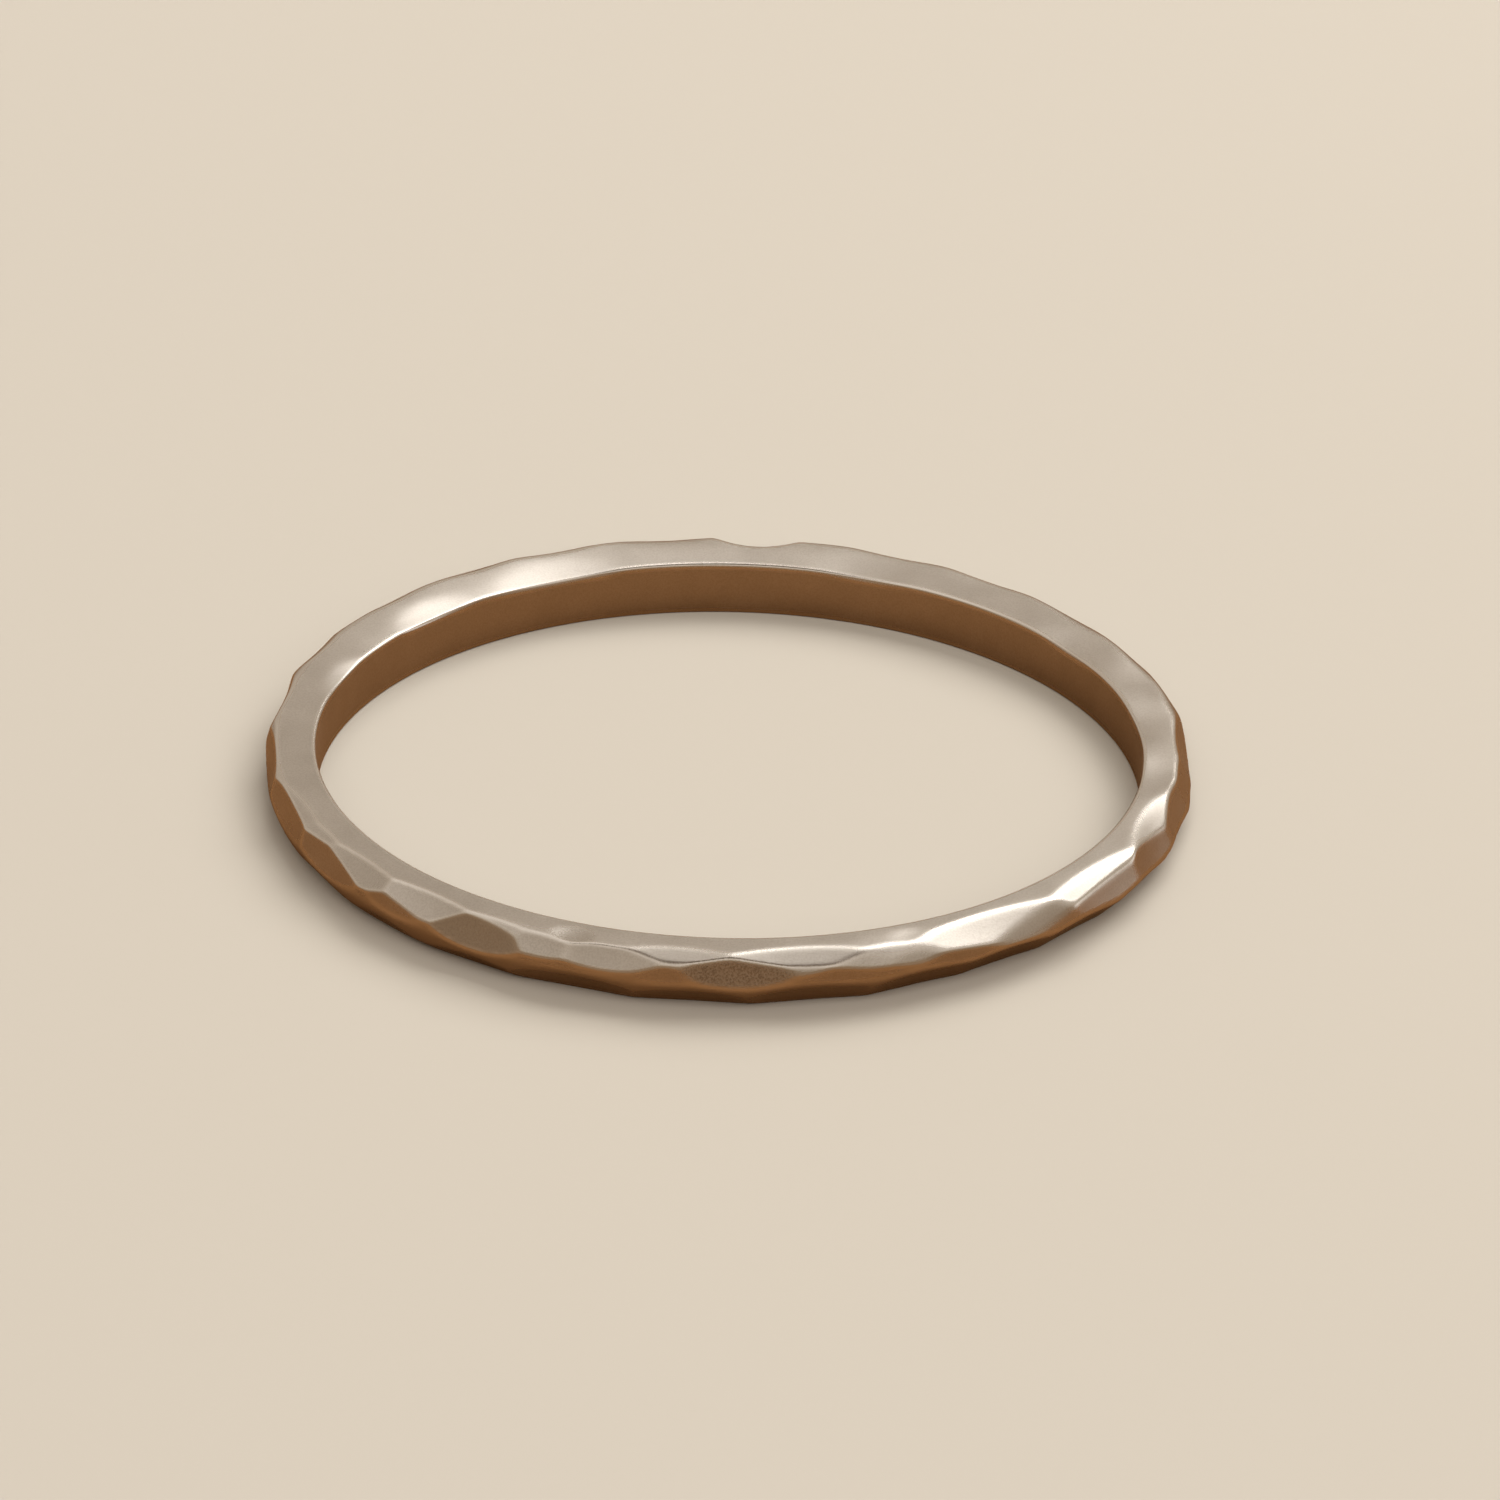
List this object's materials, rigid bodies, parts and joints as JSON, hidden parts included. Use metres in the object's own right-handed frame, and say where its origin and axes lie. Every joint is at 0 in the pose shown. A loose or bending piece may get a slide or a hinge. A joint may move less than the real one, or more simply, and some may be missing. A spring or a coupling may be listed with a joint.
{
  "type": "wedding band",
  "caption": "Slim silver wedding band with a smooth bore and a hammered, faceted outer side, lying flat.",
  "frame": {"origin": "centre of the finger hole, on the plane the band rests on", "axes": "+Z along the ring's axis, +Y to the far side as pictured, +X to the right"},
  "size_m": [0.0195, 0.0196, 0.0014],
  "materials": {
    "silver": "hammered facets, satin"
  },
  "bodies": {
    "root": {"band": "silver"}
  },
  "joints": []
}
